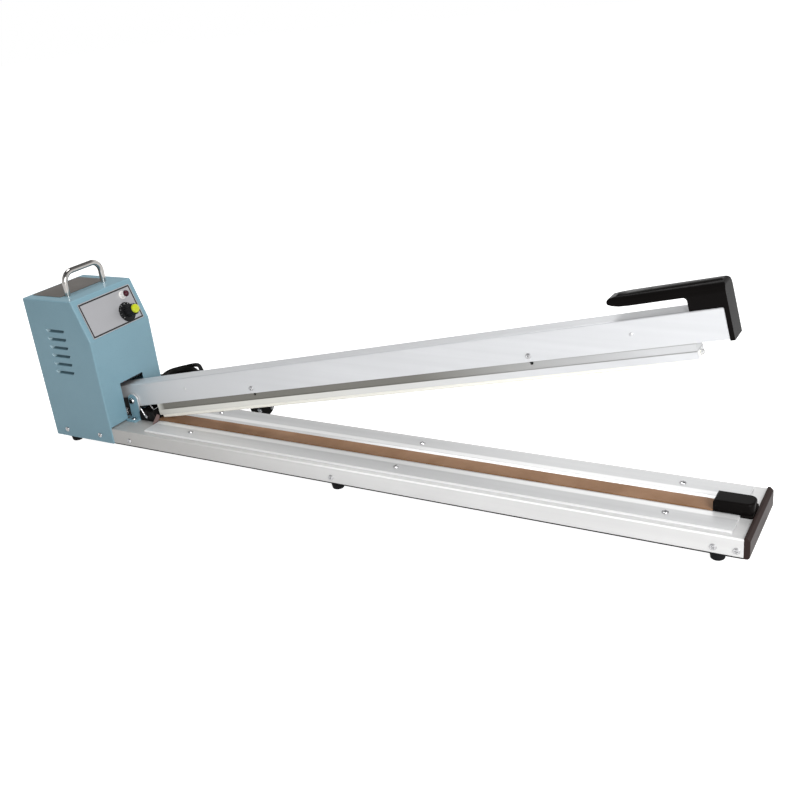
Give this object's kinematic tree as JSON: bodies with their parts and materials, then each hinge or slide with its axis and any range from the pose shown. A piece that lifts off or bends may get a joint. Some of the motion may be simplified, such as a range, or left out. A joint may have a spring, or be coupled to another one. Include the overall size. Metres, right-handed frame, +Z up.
{
  "type": "impulse sealer",
  "caption": "Long-arm hand impulse sealer for plastic film: hinged arm with sprung silicone press bar over a cloth-covered heating ribbon, steel works casing at the hinge end.",
  "frame": {"origin": "on the ground under the middle of the machine without its cord", "axes": "+X along the base from the casing to the free end, +Y across it away from the operator, +Z up"},
  "size_m": [1.1194, 0.2953, 0.2951],
  "materials": {
    "painted_steel": "semi-gloss grey-blue enamel on folded sheet steel",
    "base_aluminium": "satin extruded aluminium, drawn along its length",
    "arm_aluminium": "satin extruded aluminium, drawn along its length",
    "plate_aluminium": "satin extruded aluminium with a bright bevel",
    "bar_aluminium": "satin extruded aluminium",
    "label_metal": "matt silver plate with a printed black border line",
    "top_metal": "bare polished sheet",
    "bright_steel": "zinc-plated steel",
    "chrome_rod": "polished chrome",
    "spring_steel": "bright drawn wire",
    "black_plate": "black painted sheet steel",
    "handle_plastic": "glossy black moulded plastic",
    "cap_plastic": "semi-gloss black-brown moulded plastic",
    "knob_plastic": "satin black moulded plastic with white scale marks",
    "cap_yellow": "glossy yellow-green plastic insert",
    "lamp_white": "white glossy plastic",
    "lamp_red": "dark red translucent plastic",
    "foot_rubber": "matt black rubber",
    "strip_silicone": "cream silicone rubber",
    "sealing_cloth": "brown PTFE-coated glass cloth, faintly woven and slightly shiny",
    "bed_glass": "woven glass insulation strip",
    "ribbon_metal": "nickel-chrome ribbon",
    "terminal_brass": "bare brass",
    "bakelite": "black phenolic moulding",
    "washer_nylon": "natural nylon",
    "core_steel": "varnished steel laminations",
    "coil_copper": "varnished copper winding in amber tape",
    "board_green": "green circuit board",
    "relay_blue": "blue moulded relay case and capacitor sleeve",
    "dial_metal": "plated potentiometer can",
    "switch_black": "black phenolic switch case",
    "plunger_red": "red moulded plunger",
    "cord_pvc": "black PVC cord sheath",
    "tie_black": "black tie strap"
  },
  "bodies": {
    "base": {"casing_cover": "painted_steel", "casing_screws": "bright_steel", "top_plate": "top_metal", "control_plate": "label_metal", "lamp_body": "lamp_white", "lamp_lens": "lamp_red", "carrying_handle": "chrome_rod", "handle_nuts": "bright_steel", "base_profile": "base_aluminium", "bottom_plate": "black_plate", "base_end_cap": "cap_plastic", "base_screws": "bright_steel", "rubber_feet": "foot_rubber", "foot_screws": "bright_steel", "near_clamp_plate": "plate_aluminium", "far_clamp_plate": "plate_aluminium", "clamp_screws": "bright_steel", "bed_strip": "bed_glass", "heating_ribbon": "ribbon_metal", "cloth_cover": "sealing_cloth", "end_terminal": "terminal_brass", "end_cover": "handle_plastic", "hinge_terminal": "bakelite", "terminal_clips": "bright_steel", "near_hinge_bracket": "painted_steel", "far_hinge_bracket": "painted_steel", "bracket_screws": "bright_steel", "hinge_pin": "bright_steel", "hinge_washers": "washer_nylon", "return_spring": "spring_steel", "spring_anchor": "bright_steel", "stop_buffer": "foot_rubber", "switch_bracket": "bright_steel", "switch_body": "switch_black", "transformer_core": "core_steel", "transformer_coil": "coil_copper", "transformer_strap": "bright_steel", "timer_board": "board_green", "timer_dial_unit": "dial_metal", "timer_relay": "relay_blue", "cord_gland": "handle_plastic", "power_cord": "cord_pvc", "cord_hank": "cord_pvc", "cord_ties": "tie_black", "cord_tail": "cord_pvc", "mains_plug": "cord_pvc"},
    "arm": {"arm_channel": "arm_aluminium", "arm_rivets": "bright_steel", "guide_screws": "bright_steel", "arm_handle": "handle_plastic", "spring_pin": "bright_steel", "press_springs": "spring_steel"},
    "bar": {"press_bar": "bar_aluminium", "silicone_strip": "strip_silicone", "bar_clip": "bright_steel"},
    "knob": {"timer_knob": "knob_plastic", "knob_cap": "cap_yellow"},
    "plunger": {"switch_plunger": "plunger_red"}
  },
  "joints": [
    {"name": "arm_hinge", "type": "hinge", "parent": "base", "child": "arm", "pos_m": [-0.38375, 0, 0.064], "axis": [0, 1, 0], "range_deg": [0, 11.9], "stiffness_Nm_per_rad": 9, "springref_deg": -63.03, "deforming": ["return_spring"]},
    {"name": "bar_slide", "type": "slide", "parent": "arm", "child": "bar", "axis": [-0.2062, 0, 0.9785], "range_m": [0, 0.0091], "deforming": ["press_springs"]},
    {"name": "knob_turn", "type": "hinge", "parent": "base", "child": "knob", "pos_m": [-0.39939, 0.0257, 0.18802], "axis": [0.9383, 0, 0.3458], "range_deg": [-140, 140]},
    {"name": "plunger_slide", "type": "slide", "parent": "base", "child": "plunger", "axis": [0, 0, 1], "range_m": [0, 0.002]}
  ],
  "couplings": [
    {"joint": "bar_slide", "follows": "arm_hinge", "m_per_rad": 0.04381},
    {"joint": "plunger_slide", "follows": "arm_hinge", "m_per_rad": 0.00962}
  ]
}
